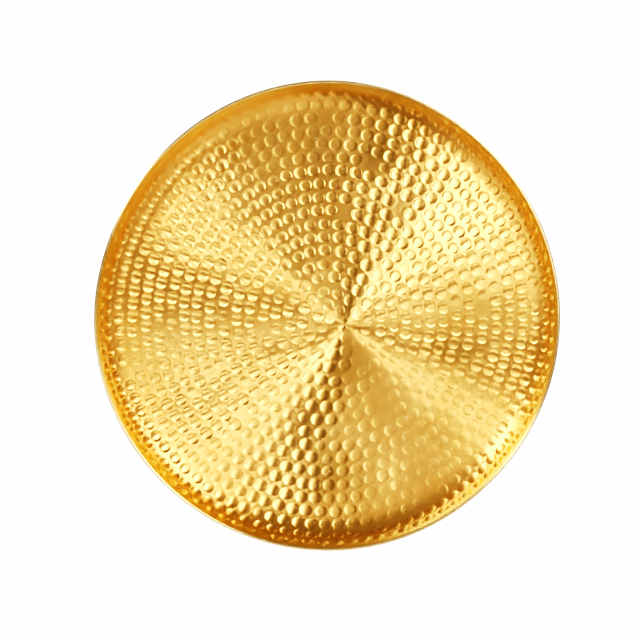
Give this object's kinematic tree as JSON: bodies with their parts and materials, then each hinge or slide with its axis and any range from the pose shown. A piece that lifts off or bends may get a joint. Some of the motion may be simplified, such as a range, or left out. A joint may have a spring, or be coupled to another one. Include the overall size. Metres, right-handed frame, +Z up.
{
  "type": "serving tray",
  "caption": "Round dished serving tray of hammered brass sheet, with a flat floor, a leaning wall and a rolled rim over a stiffening wire.",
  "frame": {"origin": "centre of the face that the tray rests on, on the tray's own axis", "axes": "+Z up, along the tray's axis, out of its open side; +X and +Y are any two level directions, because the tray is round"},
  "size_m": [0.4, 0.4, 0.03],
  "materials": {
    "hammered_brass": "polished and lacquered yellow brass, hand hammered, satin between the marks",
    "rim_wire": "drawn brass wire, dull"
  },
  "bodies": {
    "root": {"pan": "hammered_brass", "rim_wire": "rim_wire"}
  },
  "joints": []
}
